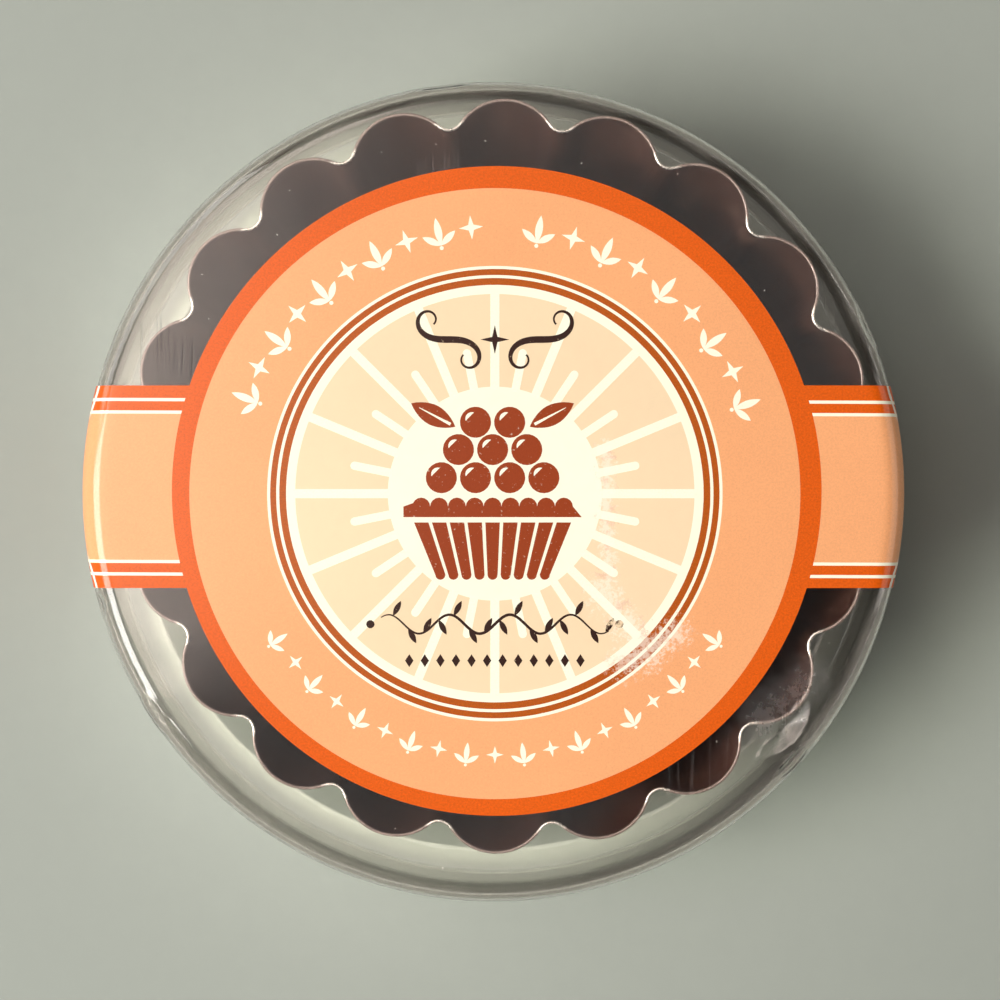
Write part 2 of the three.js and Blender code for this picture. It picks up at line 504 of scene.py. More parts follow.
@dataclass(frozen=True)
class CutSteelNotchHighlight(Finish):
    """The rim's cut edge: coated, with bright bare steel at the notches, where the pans rub in the stack;
    that steel is also a painted highlight for the notch peaks' glint.

    The pan's centre is in metres. The notch's radius and the uneven reach of the rubbing are in
    millimetres.
    """

    centre: Point
    notch: float
    name: str = "cut_steel_notch_highlight"
    steel: Colour = srgb("e6dfd6")
    coat: Colour = srgb("6e605a")
    unevenness: float = 1.2

    def paint(self, graph: Graph) -> object:
        """Adds the edge's nodes."""
        place = object_coordinates(graph)
        x, y, _ = graph.split(place)
        radius = graph.hypotenuse(x - self.centre[0], y - self.centre[1])
        uneven = (graph.noise(place, 300.0, 3.0, 0.6) - 0.5) * self.unevenness
        # Painted highlight: bright bare steel near the notch radius, with the coat everywhere else.
        coated = graph.smooth(radius / MM - self.notch + uneven, 0.2, 1.0)
        brushed = graph.noise(place, 3000.0, 2.0)
        inputs = {
            "Base Color": graph.mixed(coated, self.steel, self.coat),
            "Metallic": 1.0 - coated * 0.7,
            "Roughness": 0.2 + brushed * 0.16,
            "Normal": graph.bump(brushed, 0.01, 0.4),
        }
        return graph.output(PRINCIPLED, inputs)


class Inks:
    """The label's print colours."""

    CREAM = srgb("fff9e0")
    PALE = srgb("f5d8b2")
    PEACH = srgb("f4aa75")
    ORANGE = srgb("dd5a02")
    BRONZE = srgb("b15208")
    RUST = srgb("94380b")
    DARK = srgb("2e150e")
    BARE = srgb("fff3e2")
    STAIN = srgb("d98a5c")


@dataclass(frozen=True)
class PrintLayout:
    """Where the label's print runs and where it is rubbed, in millimetres.

    Rings are about the print's centre. Stripes run along the band, a little off the die-cut middle and
    tilted by a slope. Each has the distance at which its ink begins.
    """

    centre: Point
    die_centre: Point
    die_radius: float
    band_offset: float = 0.37
    band_tilt: float = -0.0038
    rings: tuple[tuple[float, Colour], ...] = (
        (0.0, Inks.CREAM),
        (14.1, Inks.PALE),
        (26.3, Inks.CREAM),
        (27.5, Inks.BRONZE),
        (28.4, Inks.CREAM),
        (28.8, Inks.BRONZE),
        (29.6, Inks.CREAM),
        (30.0, Inks.PEACH),
        (40.25, Inks.ORANGE),
    )
    stripes: tuple[tuple[float, Colour], ...] = (
        (0.0, Inks.PEACH),
        (9.63, Inks.CREAM),
        (10.05, Inks.ORANGE),
        (11.28, Inks.CREAM),
        (11.7, Inks.ORANGE),
    )
    rubs: tuple[Stroke, ...] = (
        ((14.8, 5.7), (15.1, -13.3), 1.5),
        ((14.5, -13.3), (20.5, -21.3), 2.6),
        ((17.2, -22.6), (24.2, -18.6), 2.4),
    )


def paper_shader(graph: Graph, place: bpy.types.NodeSocket, colour: object, wear: Operand) -> object:
    """Coated paper under a print: fibres, a soft gloss and rough spots where it is worn."""
    fibres = graph.noise(place, 1800.0, 4.0, 0.6)
    cockle = graph.bump(graph.noise(place, 38.0, 2.0), 0.22, 0.4)
    inputs = {
        "Base Color": colour,
        "Roughness": 0.5 + fibres * 0.14,
        "Specular IOR Level": 0.1,
        "Coat Weight": 0.6 - wear * 0.5,
        "Coat Roughness": 0.13,
        "Normal": graph.bump(fibres, 0.012, 0.5, cockle),
    }
    return graph.output(PRINCIPLED, inputs)


@dataclass(frozen=True)
class PrintedPaper(Finish):
    """The label's printed face: rings on the disc, stripes on the band, worn in places.

    The tabs' corners are cracked along their fold, which has a radius and a lower end in millimetres.
    """

    layout: PrintLayout
    name: str = "printed_paper"
    mottle: Mottle = Mottle(40.0, 700.0, 0.12, 0.05)
    fold_radius: float = 53.95
    fold_bottom: float = 28.0

    def paint(self, graph: Graph) -> object:
        """Adds the print's nodes."""
        place = object_coordinates(graph)
        x, y, z = graph.split(place)
        layout = self.layout
        ring_radius = graph.hypotenuse(x - layout.centre[0] * MM, y - layout.centre[1] * MM)
        die_x, die_y = x - layout.die_centre[0] * MM, y - layout.die_centre[1] * MM
        off_middle = graph.math("ABSOLUTE", die_y - layout.band_offset * MM - die_x * layout.band_tilt)
        on_band = graph.hypotenuse(die_x, die_y) > layout.die_radius * MM
        rings = graph.steps(ring_radius, layout.rings)
        printed = graph.mixed(on_band, rings, graph.steps(off_middle, layout.stripes))

        grain = graph.noise(place, 3600.0, 2.0, 0.8)
        green = Value(graph, graph.add("ShaderNodeSeparateColor", {0: printed}).outputs[1])
        coarse = graph.clamped(0.7 - green * 1.1)
        tone = self.mottle.tone(graph, place)
        printed = graph.toned(printed, tone + (grain - 0.5) * (coarse * 1.3 + 0.04))

        wear = stroke_wear(graph, place, layout.rubs)
        fold_radius = graph.hypotenuse(x, y)
        near_corner = graph.smooth(off_middle, 8.6 * MM, 10.6 * MM)
        crease_radius = self.fold_radius * MM + graph.smooth(off_middle, 13.0 * MM, 8.0 * MM) * 0.5 * MM
        off_crease = graph.math("ABSOLUTE", fold_radius - crease_radius)
        ragged = 0.09 * MM + graph.noise(place, 900.0, 3.0) * 0.14 * MM
        cracks = (off_crease < ragged) * near_corner * (z > self.fold_bottom * MM)
        worn = graph.math("MAXIMUM", wear * 0.55, cracks)
        smudge = graph.smooth(graph.noise(place, 420.0, 5.0, 0.7), 0.5, 0.66) * graph.clamped(wear * 3.0)
        colour = graph.mixed(worn, printed, Inks.BARE)
        colour = graph.mixed(smudge * 0.4, colour, Inks.STAIN)
        return paper_shader(graph, place, colour, worn)


@dataclass(frozen=True)
class PaperBack(Finish):
    """The label's unprinted back and its cut edges."""

    name: str = "paper_back"
    tint: Colour = srgb("efe9dd")
    mottle: Mottle = Mottle(90.0, 1500.0, 0.08, 0.1)
    dullness: float = 0.6

    def paint(self, graph: Graph) -> object:
        """Adds the paper's nodes."""
        place = object_coordinates(graph)
        colour = graph.toned(self.tint, self.mottle.tone(graph, place))
        return paper_shader(graph, place, colour, self.dullness)


@dataclass(frozen=True)
class Ink(Finish):
    """One printed ornament colour, which is rubbed off where the label's other print is."""

    name: str
    colour: Colour
    ground: Colour
    layout: PrintLayout
    fade: float = 0.9

    def paint(self, graph: Graph) -> object:
        """Adds the ink's nodes."""
        place = object_coordinates(graph)
        grain = graph.noise(place, 4200.0, 2.0, 0.7)
        thin = graph.smooth(graph.noise(place, 2300.0, 3.0, 0.6), 0.64, 0.74)
        wear = stroke_wear(graph, place, self.layout.rubs)
        gone = graph.math("MAXIMUM", wear * self.fade, thin * 0.35)
        inked = graph.toned(self.colour, 1.0 + (grain - 0.5) * 0.3)
        return paper_shader(graph, place, graph.mixed(gone, inked, self.ground), wear)


@dataclass(frozen=True)
class Dust(Finish):
    """Pale specks of dust and crumb on the lid."""

    name: str = "dust"
    tint: Colour = srgb("d9d2c6")

    def paint(self, graph: Graph) -> object:
        """Adds the dust's nodes."""
        place = object_coordinates(graph)
        tone = 0.75 + graph.noise(place, 600.0, 2.0) * 0.5
        return graph.output(PRINCIPLED, {"Base Color": graph.toned(self.tint, tone), "Roughness": 0.9})


@dataclass(frozen=True)
class StudioFloor(Finish):
    """A plain pale floor with the faintest unevenness."""

    name: str = "studio_floor"
    tint: Colour = srgb("979c94")
    mottle: Mottle = Mottle(6.0, 300.0, 0.05, 0.04)

    def paint(self, graph: Graph) -> object:
        """Adds the floor's nodes."""
        colour = graph.toned(self.tint, self.mottle.tone(graph, object_coordinates(graph)))
        return graph.output(PRINCIPLED, {"Base Color": colour, "Roughness": 0.75})


# ---- Meshes ----


def mesh_object(name: str, vertices: Sequence[Vector], faces: Sequence[Sequence[int]]) -> bpy.types.Object:
    """Makes an object at the origin from vertices in metres.

    Args:
        name: The piece's name.
        vertices: Its points.
        faces: The vertex numbers of each face.

    Returns:
        The object, linked into the scene.
    """
    mesh = bpy.data.meshes.new(name)
    mesh.from_pydata([tuple(v) for v in vertices], [], faces)
    mesh.update()
    piece = bpy.data.objects.new(name, mesh)
    bpy.context.scene.collection.objects.link(piece)
    return piece


def make_plain(piece: bpy.types.Object) -> None:
    """Turns what the modifiers show into the piece's own mesh and removes them."""
    depsgraph = bpy.context.evaluated_depsgraph_get()
    depsgraph.update()
    shown = piece.evaluated_get(depsgraph)
    mesh = bpy.data.meshes.new_from_object(shown, preserve_all_data_layers=True, depsgraph=depsgraph)
    piece.modifiers.clear()
    piece.data = mesh
    mesh.name = piece.name


def shade(piece: bpy.types.Object, sharp_angle: float = 32.0) -> None:
    """Shades a piece smooth, apart from edges sharper than an angle in degrees."""
    piece.data.shade_smooth()
    piece.data.set_sharp_from_angle(angle=math.radians(sharp_angle))


def run_tree(piece: bpy.types.Object, tree: bpy.types.NodeTree, values: Mapping[str, object]) -> None:
    """Runs a geometry tree on a piece and keeps the result as its plain mesh.

    Args:
        piece: The object, whose own mesh is the tree's geometry input.
        tree: The geometry node tree.
        values: What each named input is set to.
    """
    modifier = piece.modifiers.new("shape", "NODES")
    modifier.node_group = tree
    for item in tree.interface.items_tree:
        if item.in_out == "INPUT" and item.name in values:
            modifier[item.identifier] = values[item.name]
    piece.update_tag()
    make_plain(piece)


def arc(centre: Point, radius: float, start: float, end: float, steps: int) -> list[Point]:
    """Points on a round, from one angle in degrees to another, both ends included."""
    angles = [math.radians(start + (end - start) * i / steps) for i in range(steps + 1)]
    return [(centre[0] + radius * math.cos(a), centre[1] + radius * math.sin(a)) for a in angles]


def line(start: Point, end: Point, steps: int) -> list[Point]:
    """Evenly spaced points after start, up to and with end."""
    shares = [i / steps for i in range(1, steps + 1)]
    return [(start[0] + (end[0] - start[0]) * s, start[1] + (end[1] - start[1]) * s) for s in shares]


def turn_profile(name: str, profile: Sequence[Point], segments: int) -> bpy.types.Object:
    """Turns a profile about Z into a closed shell.

    Args:
        name: The piece's name.
        profile: Radius and height in millimetres, from the underside's centre round to the upper side's.
            The first and the last point lie on the axis.
        segments: How many steps make the full turn.

    Returns:
        The shell, with its faces outward.
    """
    rings = profile[1:-1]
    vertices = [Vector((0.0, 0.0, profile[0][1])), Vector((0.0, 0.0, profile[-1][1]))]
    for radius, height in rings:
        for i in range(segments):
            angle = 2 * math.pi * i / segments
            vertices.append(Vector((radius * math.cos(angle), radius * math.sin(angle), height)))
    faces = []
    last = 2 + (len(rings) - 1) * segments
    for i in range(segments):
        after = (i + 1) % segments
        faces.append((0, 2 + after, 2 + i))
        faces.append((1, last + i, last + after))
        for ring in range(len(rings) - 1):
            low = 2 + ring * segments
            high = low + segments
            faces.append((low + i, low + after, high + after, high + i))
    return mesh_object(name, [v * MM for v in vertices], faces)


class FlatArt:
    """Printed shapes: flat outlines and strokes in millimetres, made into one thin closed slab each.

    Each shape lies a hair higher than the one before, so shapes that cross don't share a face.
    """

    layer_step = 0.0003

    def __init__(self) -> None:
        """Starts empty."""
        self.points: list[Point] = []
        self.faces: list[list[int]] = []
        self.shapes: list[int] = []

    def fill(self, outline: Iterable[Point]) -> None:
        """Adds a filled outline, whichever way round it is listed."""
        start = len(self.points)
        self.points.extend(outline)
        self.faces.append(list(range(start, len(self.points))))
        self.shapes.append(start)

    def stroke(self, path: Sequence[Point], width: Callable[[float], float]) -> None:
        """Adds a stroke along a path, with its width by the share of the path's points passed."""
        start = len(self.points)
        self.shapes.append(start)
        count = len(path)
        for i, (x, y) in enumerate(path):
            before, after = path[max(i - 1, 0)], path[min(i + 1, count - 1)]
            along = (Vector(after) - Vector(before)).normalized()
            half = width(i / (count - 1)) / 2
            self.points.append((x - along.y * half, y + along.x * half))
            self.points.append((x + along.y * half, y - along.x * half))
        for i in range(start, start + 2 * (count - 1), 2):
            self.faces.append([i, i + 1, i + 3, i + 2])

    def build(self, name: str, centre: Point, level: float, thickness: float) -> bpy.types.Object:
        """Makes the slab.

        Args:
            name: The piece's name.
            centre: Where the art's own origin goes, in millimetres.
            level: The height of the slab's underside.
            thickness: How far it rises from there.

        Returns:
            The slab, with its faces outward.
        """
        mesh = bmesh.new()
        vertices = []
        for number, (x, y) in enumerate(self.points):
            layer = sum(start <= number for start in self.shapes) * self.layer_step
            place = (x + centre[0], y + centre[1], level + layer)
            vertices.append(mesh.verts.new([length * MM for length in place]))
        for face in self.faces:
            mesh.faces.new([vertices[i] for i in face])
        mesh.normal_update()
        bmesh.ops.reverse_faces(mesh, faces=[f for f in mesh.faces if f.normal.z > 0])
        under = list(mesh.faces)
        raised = bmesh.ops.extrude_face_region(mesh, geom=under, use_keep_orig=True)["geom"]
        top = [item for item in raised if isinstance(item, bmesh.types.BMVert)]
        bmesh.ops.translate(mesh, verts=top, vec=(0.0, 0.0, thickness * MM))
        bmesh.ops.recalc_face_normals(mesh, faces=mesh.faces)
        # Extruding lists its new points in an order that changes from run to run, so they are sorted.
        ordered = sorted(mesh.verts, key=lambda vertex: tuple(vertex.co))
        number = {vertex: i for i, vertex in enumerate(ordered)}
        faces = sorted([number[vertex] for vertex in face.verts] for face in mesh.faces)
        piece = mesh_object(name, [vertex.co.copy() for vertex in ordered], faces)
        mesh.free()
        return piece


def leaf(
    length: float, width: float, heading: float, base: Point = (0.0, 0.0), steps: int = 8
) -> list[Point]:
    """A pointed leaf's outline, from its base along a heading in degrees."""
    turn = Matrix.Rotation(math.radians(heading), 2)
    sides = []
    for side in (1, -1):
        shares = [i / steps for i in range(steps)]
        if side < 0:
            shares = [1 - s for s in shares]
        for share in shares:
            out = side * width / 2 * math.sin(math.pi * share) ** 0.85 if 0 < share < 1 else 0.0
            sides.append(turn @ Vector((share * length, out)) + Vector(base))
    return [(p.x, p.y) for p in sides]


def capsule(length: float, width: float) -> list[Point]:
    """An upright bar from the origin, with a round far end."""
    round_end = arc((0.0, length - width / 2), width / 2, 0, 180, 8)
    return [(-width / 2, 0.0), (width / 2, 0.0), *round_end]


def star(reach: float, waist: float) -> list[Point]:
    """A four-pointed star, upright."""
    turns = [math.radians(45 * i) for i in range(8)]
    reaches = [waist if i % 2 else reach for i in range(8)]
    return [(r * math.sin(t), r * math.cos(t)) for r, t in zip(reaches, turns)]


# ---- Geometry node trees ----


class Trees:
    """The geometry node trees, each built once."""

    def __init__(self) -> None:
        """Builds the trees."""
        self.flute = self._flute()
        self.pan = self._pan()
        self.round = self._round()
        self.scatter = self._scatter()

    @staticmethod
    def _flute() -> bpy.types.NodeTree:
        """The radius of a fluted outline at an angle.

        Each flute is a round about a centre near its tip. It meets the next flute in a small round at
        the notch, tangent to both. An inset gives the parallel outline that far inside.
        """
        names = ("Angle", "Flutes", "Tip", "Notch", "Notch Round", "Inset")
        group = GroupGraph("flute_outline", "GeometryNodeTree", numbers(*names), numbers("Radius"))
        angle, flutes, tip, notch, notch_round, inset = (group.given(name) for name in names)
        half_pitch = math.pi / flutes
        turns = angle * flutes / (2 * math.pi) + 0.5
        off_tip = group.math("ABSOLUTE", group.math("FLOORED_MODULO", turns, 1.0) - 0.5) * half_pitch * 2.0

        notch_centre = notch + notch_round
        reach = notch_centre * group.math("COSINE", half_pitch)
        rise = notch_centre * group.math("SINE", half_pitch)
        gap = tip - reach
        squares = tip * tip + notch_centre * notch_centre - tip * reach * 2.0 - notch_round * notch_round
        tip_round = squares / ((gap + notch_round) * 2.0)
        tip_centre = tip - tip_round
        sweep = group.math("ARCTAN2", rise, reach - tip_centre)

        inner_tip = tip_round - inset
        joint_x = tip_centre + inner_tip * group.math("COSINE", sweep)
        joint = group.math("ARCTAN2", inner_tip * group.math("SINE", sweep), joint_x)
        aside = tip_centre * group.math("SINE", off_tip)
        past_centre = group.math("SQRT", inner_tip * inner_tip - aside * aside)
        on_tip = tip_centre * group.math("COSINE", off_tip) + past_centre
        off_notch = half_pitch - off_tip
        inner_notch = notch_round + inset
        beside = notch_centre * group.math("SINE", off_notch)
        depth = group.math("MAXIMUM", inner_notch * inner_notch - beside * beside, 0.0)
        on_notch = notch_centre * group.math("COSINE", off_notch) - group.math("SQRT", depth)
        before = off_tip < joint
        group.give("Radius", on_tip * before + on_notch * (1.0 - before))
        return group.tree

    def _pan(self) -> bpy.types.NodeTree:
        """One fluted pan, bent from an open tube whose rows become a closed skin.

        The rows run out under the base, up the wall, over the rim, and down and in again inside.
        """
        kinds = numbers("Rim Tip", "Rim Notch", "Rim Round", "Heel Tip", "Heel Notch", "Heel Round")
        kinds |= numbers("Floor Radius", "Heel Height", "Height", "Sheet", "Bend Angle")
        kinds |= {"Flutes": SocketKind.COUNT, "Points Per Flute": SocketKind.COUNT}
        kinds |= {"Coat": SocketKind.MATERIAL, "Edge": SocketKind.MATERIAL}
        group = GroupGraph("fluted_pan", "GeometryNodeTree", kinds, {"Geometry": SocketKind.GEOMETRY})
        given = group.given
        weld, edge_share = 2e-6, 0.42
        rows = {"rim": 6.0, "wall": 12.0, "bend": 6.0, "floor": 4.0}
        half = rows["rim"] / 2 + rows["wall"] + rows["bend"] + rows["floor"]

        tube = group.output(
            "GeometryNodeMeshCylinder",
            {
                "Vertices": given("Flutes") * given("Points Per Flute"),
                "Side Segments": int(2 * half),
                "Radius": 1.0,
                "Depth": 1.0,
            },
            fill_type="NONE",
        )
        x, y, z = group.split(group.output("GeometryNodeInputPosition"))
        angle = group.math("ARCTAN2", y, x)
        row = (z + 0.5) * (2 * half)
        from_rim = group.math("ABSOLUTE", row - half)
        over_rim = group.clamped((row - half) / rows["rim"] + 0.5) * math.pi
        inside = (1.0 - group.math("COSINE", over_rim)) * 0.5

        shares = {}
        passed = rows["rim"] / 2
        for stretch in ("wall", "bend", "floor"):
            shares[stretch] = 1.0 - group.clamped((from_rim - passed) / rows[stretch])
            passed += rows[stretch]

        sheet = given("Sheet")
        radii = {}
        for level in ("Rim", "Heel"):
            inputs = {name: given(f"{level} {name}") for name in ("Tip", "Notch")}
            inputs |= {"Notch Round": given(f"{level} Round"), "Inset": inside * sheet}
            inputs |= {"Angle": angle, "Flutes": given("Flutes")}
            radii[level] = group.place(self.flute, inputs)

        floor = given("Floor Radius")
        bend = given("Bend Angle")
        bend_out = group.math("SINE", bend * shares["bend"]) / group.math("SINE", bend)
        bend_up = (1.0 - group.math("COSINE", bend * shares["bend"])) / (1.0 - group.math("COSINE", bend))
        radius = floor * shares["floor"] + (radii["Heel"] - floor) * bend_out
        radius = radius + (radii["Rim"] - radii["Heel"]) * shares["wall"]

        base = sheet * inside
        heel = given("Heel Height") + sheet * inside * 0.5
        top = given("Height") - sheet * 0.5
        height = base + (heel - base) * bend_up + (top - heel) * shares["wall"]
        height = height + group.math("SINE", over_rim) * sheet * 0.5

        east, north = radius * group.math("COSINE", angle), radius * group.math("SINE", angle)
        inputs = {"Geometry": tube, "Position": group.joined(east, north, height)}
        shaped = group.output("GeometryNodeSetPosition", inputs)
        merged = group.output("GeometryNodeMergeByDistance", {"Geometry": shaped, "Distance": weld})
        smooth = group.output("GeometryNodeSetShadeSmooth", {"Geometry": merged})
        coated = group.real_in(smooth, given("Coat"))
        _, _, at = group.split(group.output("GeometryNodeInputPosition"))
        on_edge = at > given("Height") - sheet * edge_share
        inputs = {"Geometry": coated, "Selection": on_edge, "Material": given("Edge")}
        group.give("Geometry", group.output("GeometryNodeSetMaterial", inputs))
        return group.tree

    @staticmethod
    def _round() -> bpy.types.NodeTree:
        """Repeats the piece's own shape on a round, each copy turned to face out from the centre.

        Bearings run clockwise from +Y.
        """
        kinds = {"Geometry": SocketKind.GEOMETRY, "Count": SocketKind.COUNT, "Centre": SocketKind.VECTOR}
        kinds |= numbers("Radius", "Start", "Step", "Spin", "Size") | {"Ink": SocketKind.MATERIAL}
        group = GroupGraph("repeat_round", "GeometryNodeTree", kinds, {"Geometry": SocketKind.GEOMETRY})
        given = group.given
        index = group.value("GeometryNodeInputIndex")
        bearing = given("Start") + index * given("Step")
        out = group.joined(group.math("SINE", bearing), group.math("COSINE", bearing))
        place = group.sum_of(group.scaled(out, given("Radius")), given("Centre"))
        points = group.output("GeometryNodePoints", {"Count": given("Count"), "Position": place})
        inputs = {
            "Points": points,
            "Instance": given("Geometry"),
            "Rotation": group.joined(0.0, 0.0, given("Spin") - bearing),
            "Scale": group.joined(given("Size"), given("Size"), 1.0),
        }
        copies = group.output("GeometryNodeInstanceOnPoints", inputs)
        group.give("Geometry", group.real_in(copies, given("Ink")))
        return group.tree

    @staticmethod
    def _scatter() -> bpy.types.NodeTree:
        """Strews small grains over the piece's own surface, with a fixed seed."""
        kinds = {"Geometry": SocketKind.GEOMETRY} | numbers("Density", "Grain")
        kinds |= {"Seed": SocketKind.COUNT, "Speck": SocketKind.MATERIAL}
        group = GroupGraph("scatter", "GeometryNodeTree", kinds, {"Geometry": SocketKind.GEOMETRY})
        given = group.given
        inputs = {"Mesh": given("Geometry"), "Density": given("Density"), "Seed": given("Seed")}
        points = group.output("GeometryNodeDistributePointsOnFaces", inputs)
        grain = group.output("GeometryNodeMeshIcoSphere", {"Radius": given("Grain"), "Subdivisions": 1})

        def chance(low: float, high: float, salt: int) -> bpy.types.NodeSocket:
            """A number between two others, drawn for each grain."""
            inputs = {2: low, 3: high, "Seed": salt}
            return group.add("FunctionNodeRandomValue", inputs, data_type="FLOAT").outputs[1]

        inputs = {
            "Points": points,
            "Instance": grain,
            "Rotation": group.joined(0.0, 0.0, chance(0.0, 2 * math.pi, 1)),
            "Scale": group.joined(chance(0.5, 2.2, 2), chance(0.5, 1.2, 3), 0.4),
        }
        copies = group.output("GeometryNodeInstanceOnPoints", inputs)
        group.give("Geometry", group.real_in(copies, given("Speck")))
        return group.tree


TREES = Trees()


# ---- The pans ----


@dataclass
class PanStack:
    """The six nested pans. Lengths are in millimetres and angles in degrees.

    Rim and heel are the fluted outlines at the top and the bottom of the wall.
    """

    flutes: int = 20
    rim_notch: float = 46.5
    rim_round: float = 1.8
    heel_tip: float = 41.5
    heel_notch: float = 39.8
    heel_round: float = 2.4
    floor_radius: float = 38.2
    heel_height: float = 1.3
    sheet: float = 0.42
    bend_angle: float = 68.0
    turn: float = -0.8
    points_per_flute: int = 32

    def build_one(self, node: str) -> bpy.types.Object:
        """Makes the pan that stands for one node, at its place."""
        low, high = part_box(node)
        middle = (low + high) / 2
        lengths = {
            "Rim Tip": (high.x - low.x) / 2 / MM,
            "Rim Notch": self.rim_notch,
            "Rim Round": self.rim_round,
            "Heel Tip": self.heel_tip,
            "Heel Notch": self.heel_notch,
            "Heel Round": self.heel_round,
            "Floor Radius": self.floor_radius,
            "Heel Height": self.heel_height,
            "Height": (high.z - low.z) / MM,
            "Sheet": self.sheet,
        }
        values = {name: length * MM for name, length in lengths.items()}
        values |= {"Flutes": self.flutes, "Points Per Flute": self.points_per_flute}
        edge = CutSteelNotchHighlight((middle.x, middle.y), self.rim_notch)
        values |= {"Bend Angle": math.radians(self.bend_angle)}
        values |= {"Coat": NonstickCoat().material(), "Edge": edge.material()}
        pan = mesh_object(f"fluted_{node}", [], [])
        run_tree(pan, TREES.pan, values)
        turned = Matrix.Rotation(math.radians(self.turn), 4, "Z")
        pan.data.transform(Matrix.Translation((middle.x, middle.y, low.z)) @ turned)
        return pan

    def build(self) -> list[bpy.types.Object]:
        """Makes all the pans, each riding on its own body."""
        pans = []
        for number, node in enumerate(PAN_NODES, start=1):
            pan = self.build_one(node)
            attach(pan, f"pan_{number}")
            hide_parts(node)
            log.info("%s: %d faces", pan.name, len(pan.data.polygons))
            pans.append(pan)
        return pans


# ---- The clear box ----


@dataclass(frozen=True)
class Dent:
    """A buckled spot on the lid's edge: a hollow inside a raised fold. Lengths are in millimetres.

    Its middle lies at a bearing, in degrees from +X, and a distance past the end of the flat top,
    measured on the surface. It reaches along the edge and across it, and toward the lid's middle only
    by the inner share of that. The fold stands at the crest, as a share of the reach.
    """

    bearing: float
    past_flat: float
    along: float
    across: float
    depth: float
    fold: float
    crest: float = 0.8
    inner: float = 1.0

    def rise(self, angle: float, radius: float, past_flat: float) -> float:
        """How far a point of the surface moves outward, at a bearing in radians."""
        off = (angle - math.radians(self.bearing) + math.pi) % (2 * math.pi) - math.pi
        across = self.across * (self.inner if past_flat < self.past_flat else 1.0)
        share = math.hypot(off * radius / self.along, (past_flat - self.past_flat) / across)
        if share >= 1:
            return 0.0
        if share >= self.crest:
            return self.fold * math.sin((1 - share) / (1 - self.crest) * math.pi / 2)
        return self.fold - (self.depth + self.fold) * (1 - share / self.crest)


